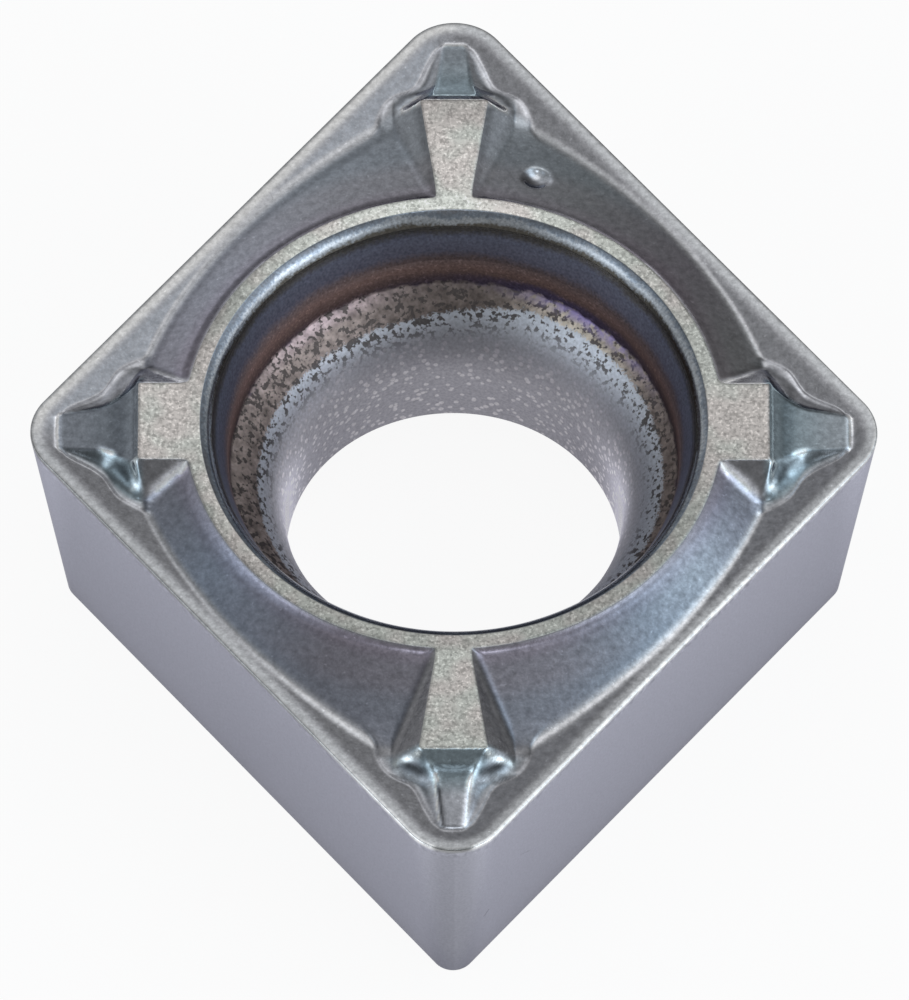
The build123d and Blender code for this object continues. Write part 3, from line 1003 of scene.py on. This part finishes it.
def lower_bore_colour(shade, place, height):
    """Pitted tan band, blue-grey funnel and straight bore with pale speckles, with painted highlights and a
    painted reflection.
    """
    pits = shade.noise(place, 12.0, 3.0)
    mottle = shade.linear(shade.noise(place, 7.0, 2.0), 1.7, 0.12)
    fine = shade.noise(place, 24.0, 2.0)
    above = shade.plus(shade.read("above_steel"), shade.linear(fine, 0.16, -0.08))
    tan = shade.mix(shade.read("violet_place"), TAN_LEFT, TAN_RIGHT)
    # painted pink highlight in the tan band
    in_pink = shade.times(shade.read("pink_highlight_place"), shade.span(height, -1.10, -0.98))
    tan = shade.mix(in_pink, tan, PINK_HIGHLIGHT)
    # painted light by direction on the tan band and on the funnel
    tan = shade.scaled(tan, shade.times(mottle, shade.read("tan_gain")))
    funnel_gain = shade.math("SUBTRACT", shade.read("funnel_gain"), 1.0)
    funnel_gain = shade.linear(funnel_gain, shade.span(height, -2.0, -1.6), 1.0)
    funnel = shade.scaled(shade.ramp(height, LOWER_BORE), funnel_gain)
    colour = shade.mix(shade.span(above, -0.02, 0.02), funnel, tan)
    cover = shade.linear(shade.noise(place, 2.6, 1.0), 0.22, 0.345)
    depth = shade.math("SUBTRACT", cover, pits)
    pitted = shade.times(shade.span(depth, -0.03, 0.05), shade.span(above, -0.42, -0.06))
    colour = shade.mix(shade.times(pitted, 0.94), colour, PIT)
    patch = shade.noise(place, 2.2, 1.0)
    speck = shade.linear(patch, -0.25, shade.spots(place, 9.0))
    speckled = shade.times(shade.span(speck, 0.25, 0.13), shade.span(height, -1.30, -1.75))
    colour = shade.mix(shade.times(speckled, 0.75), colour, SPECKLE)
    # painted violet highlight along the foot of the seat
    line = shade.times(shade.span(height, -1.06, -0.95), shade.span(height, -0.80, -0.90))
    violet = shade.times(shade.read("violet_place"), line)
    violet = shade.times(violet, shade.span(shade.noise(place, 8.0, 2.0), 0.34, 0.56))
    colour = shade.mix(violet, colour, VIOLET)
    # painted reflection of the white floor on the sides of the straight bore
    side = shade.times(shade.read("bore_side_reflection"), shade.span(height, -1.5, -2.4))
    grain = shade.linear(fine, 0.7, 0.65)
    return shade.scaled(colour, shade.times(grain, shade.linear(side, 2.3, 1.0)))


# start, end, width and depth of tone of each mark
FLANK_MARKS = {
    "dash": ((0.436, -6.384, -2.650), (0.494, -6.328, -2.580), 0.014, 0.45),
    "scratch": ((0.943, -5.961, -1.700), (1.077, -5.760, -1.910), 0.010, 0.18),
}
BUMP_DISTANCE = 0.0013


def make_coating(tree):
    """One metallic coating for the whole skin, with the colours of each zone."""
    shade = Shade(tree)
    coordinates = shade.node("TexCoord")
    mapping = shade.node("Mapping")
    shade.put(mapping.inputs["Vector"], coordinates.outputs["Object"])
    mapping.inputs["Scale"].default_value = (1 / MM, 1 / MM, 1 / MM)
    mapping.inputs["Location"].default_value = (0, 0, -THICKNESS)
    place = mapping.outputs[0]
    split = shade.node("SeparateXYZ")
    shade.fill(split, place)
    height = split.outputs[2]
    flat = shade.fill(shade.node("CombineXYZ"), split.outputs[0], split.outputs[1])
    radius = shade.vector("LENGTH", flat)

    # Chip floor, rake face, noses and flanks: the vertex tone, with its painted light and shade, with a fine
    # grain
    streaks = shade.noise(place, 11.0, 3.0, 0.2)
    grain = shade.noise(place, 30.0, 1.0)
    speck = shade.span(shade.noise(place, 15.0, 1.0), 0.72, 0.78)
    on_top = shade.span(height, -0.25, -0.18)
    streak_gain = shade.times(on_top, shade.linear(shade.read("streaky"), 0.5, 0.9))
    streak_gain = shade.linear(shade.math("SUBTRACT", streaks, 0.5), streak_gain, 1.0)
    gain = shade.times(streak_gain, shade.linear(grain, 0.36, 0.82))
    gain = shade.plus(gain, shade.times(speck, shade.times(on_top, 0.3)))
    colour = shade.scaled(shade.read("tone", "Color"), gain)

    # Marks on the flank to the near right
    marks = [
        shade.times(shade.mark(place, start, end, width), -depth)
        for start, end, width, depth in FLANK_MARKS.values()
    ]
    colour = shade.scaled(colour, shade.plus(shade.plus(*marks), 1.0))

    # Flat seat on top of the ring and the spokes
    on_seat = shade.span(radius, RING_IN - 0.01, RING_IN + 0.01)
    on_seat = shade.times(shade.span(height, SEAT - 0.014, SEAT - 0.006), on_seat)
    colour = shade.mix(on_seat, colour, seat_colour(shade, place))

    # Screw hole
    uneven = shade.linear(shade.noise(place, 5.0, 3.0), 0.26, -0.13)
    bore = shade.mix(
        shade.span(shade.plus(height, uneven), -0.96, -0.90),
        lower_bore_colour(shade, place, height),
        upper_bore_colour(shade, place, height),
    )
    in_bore = shade.span(radius, RING_IN + 0.005, RING_IN - 0.005)
    colour = shade.mix(in_bore, colour, bore)

    shader = shade.node("BsdfPrincipled")
    shade.put(shader.inputs["Base Color"], colour)
    shader.inputs["Metallic"].default_value = 1.0
    roughness = shade.plus(shade.read("rough"), shade.times(on_seat, 0.16))
    shade.put(shader.inputs["Roughness"], roughness)
    shader.inputs["Specular Tint"].default_value = (0.5, 0.5, 0.55, 1)

    bump = shade.node("Bump")
    bump.inputs["Strength"].default_value = 1.0
    bump.inputs["Distance"].default_value = BUMP_DISTANCE * MM
    relief = shade.plus(streaks, shade.times(shade.noise(place, 19.0, 1.0), 0.9))
    shade.put(bump.inputs["Height"], relief)
    shade.put(shader.inputs["Normal"], bump.outputs[0])
    shade.put(shade.node("OutputMaterial").inputs[0], shader.outputs[0])


coated, tree = new_material("coated_carbide")
make_coating(tree)
insert.data.materials.append(coated)

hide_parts(NODE)
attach(insert, "root")


# Floor: white where the camera or a reflection sees it, and it keeps a faint shadow.
# It lies a hair above the flat bottom, so that a view from below shows the bottom whole.
FLOOR_RISE = 0.004
FLOOR_IN_VIEW = 0.92
FLOOR_IN_MIRROR = 0.92
FLOOR_SIZE = 0.4
FLOOR_TONE = (0.9, 0.9, 0.9)
WHITE = (1.0, 1.0, 1.0)


def make_floor():
    mesh = bpy.data.meshes.new("floor")
    size, rise = FLOOR_SIZE, FLOOR_RISE * MM
    corners = [(-size, -size, rise), (size, -size, rise), (size, size, rise), (-size, size, rise)]
    mesh.from_pydata(corners, [], [(0, 1, 2, 3)])
    floor = add_object("floor", mesh)
    material, tree = new_material("floor_white")
    shade = Shade(tree)
    path = shade.node("LightPath")
    diffuse = shade.fill(shade.node("BsdfDiffuse"), FLOOR_TONE)
    glow = shade.fill(shade.node("Emission"), WHITE, 1.0)
    mirrored = shade.math("MAXIMUM", path.outputs["Is Glossy Ray"], path.outputs["Is Transmission Ray"])
    mirrored = shade.times(mirrored, FLOOR_IN_MIRROR)
    seen = shade.times(path.outputs["Is Camera Ray"], FLOOR_IN_VIEW)
    shown = shade.mix_shader(shade.math("MAXIMUM", seen, mirrored), diffuse, glow)
    shade.put(shade.node("OutputMaterial").inputs[0], shown)
    mesh.materials.append(material)


make_floor()


# World: a dim studio with soft boxes, each written as a lobe round a direction
SURROUND = 0.30
# elevation, azimuth and spread in degrees, strength and tint of each soft box
SOFT_BOXES = {
    "right high": (56, 20, 11, 1.15, (0.86, 1.0, 1.12)),
    "back key": (62, 85, 11, 0.80, (1.0, 1.0, 1.0)),
    "back right": (52, 62, 9, 0.25, (1.0, 1.0, 1.0)),
    "back left low": (30, 112, 14, 0.42, (0.97, 1.0, 1.06)),
    "left side": (12, 150, 14, 0.25, (1.0, 1.0, 1.0)),
    "left high": (58, 180, 10, 0.25, (0.85, 1.0, 1.15)),
    "front right": (29, 327, 12, 2.9, (0.93, 1.0, 1.08)),
    "front left": (28, 208, 12, 1.9, (0.93, 1.0, 1.08)),
    "right side": (18, 0, 13, 0.7, (0.95, 1.0, 1.08)),
    "left low": (18, 182, 13, 0.35, (0.95, 1.0, 1.05)),
    "over the camera": (75, 275, 6, 2.2, (0.95, 1.0, 1.06)),
}


def make_world():
    world = bpy.data.worlds.new("studio")
    bpy.context.scene.world = world
    world.use_nodes = True
    world.node_tree.nodes.clear()
    shade = Shade(world.node_tree)
    direction = shade.node("TexCoord").outputs["Generated"]
    total = shade.fill(shade.node("CombineXYZ"), SURROUND, SURROUND, SURROUND)
    for elevation, azimuth, spread, strength, tint in SOFT_BOXES.values():
        e, a = math.radians(elevation), math.radians(azimuth)
        sharpness = 1 / math.radians(spread) ** 2
        towards = (math.cos(e) * math.cos(a), math.cos(e) * math.sin(a), math.sin(e))
        closeness = shade.vector("DOT_PRODUCT", direction, towards)
        lobe = shade.math("EXPONENT", shade.linear(closeness, sharpness, -sharpness))
        total = shade.vector("MULTIPLY_ADD", lobe, [strength * v for v in tint], total)
    in_view = shade.node("LightPath").outputs["Is Camera Ray"]
    shown = shade.mix_shader(in_view, shade.background(total), shade.background(WHITE))
    shade.put(shade.node("OutputWorld").inputs["Surface"], shown)


make_world()


# Camera, from a fit of the cutting edge, the flanks and the bottom edge to the photograph
CAMERA_AZIMUTH = -0.0642
CAMERA_ELEVATION = 57.1423
CAMERA_ROLL = 0.1446
CAMERA_DISTANCE = 321.5661
CAMERA_RIGHT = 0.0092
CAMERA_UP = -0.9633
FOCAL_PIXELS = 22822.44
PHOTO_HEIGHT = 1000
SENSOR = 36.0
CLIP_NEAR = 0.01
CLIP_FAR = 10.0


def make_camera():
    azimuth, elevation = math.radians(CAMERA_AZIMUTH), math.radians(CAMERA_ELEVATION)
    roll = math.radians(CAMERA_ROLL)
    flat = math.cos(elevation)
    back = np.array([math.sin(azimuth) * flat, -math.cos(azimuth) * flat, math.sin(elevation)])
    level = np.array([math.cos(azimuth), math.sin(azimuth), 0.0])
    upright = np.cross(back, level)
    right = math.cos(roll) * level + math.sin(roll) * upright
    up = -math.sin(roll) * level + math.cos(roll) * upright
    place = back * CAMERA_DISTANCE + right * CAMERA_RIGHT + up * CAMERA_UP + np.array([0, 0, THICKNESS])
    data = bpy.data.cameras.new("camera")
    data.sensor_width = SENSOR
    data.lens = FOCAL_PIXELS / PHOTO_HEIGHT * SENSOR
    data.clip_start, data.clip_end = CLIP_NEAR, CLIP_FAR
    camera = add_object("camera", data)
    matrix = Matrix.Identity(4)
    for row in range(3):
        matrix[row][0], matrix[row][1], matrix[row][2] = right[row], up[row], back[row]
        matrix[row][3] = place[row] * MM
    camera.matrix_world = matrix
    bpy.context.scene.camera = camera


make_camera()
bpy.context.scene.view_settings.view_transform = "Standard"
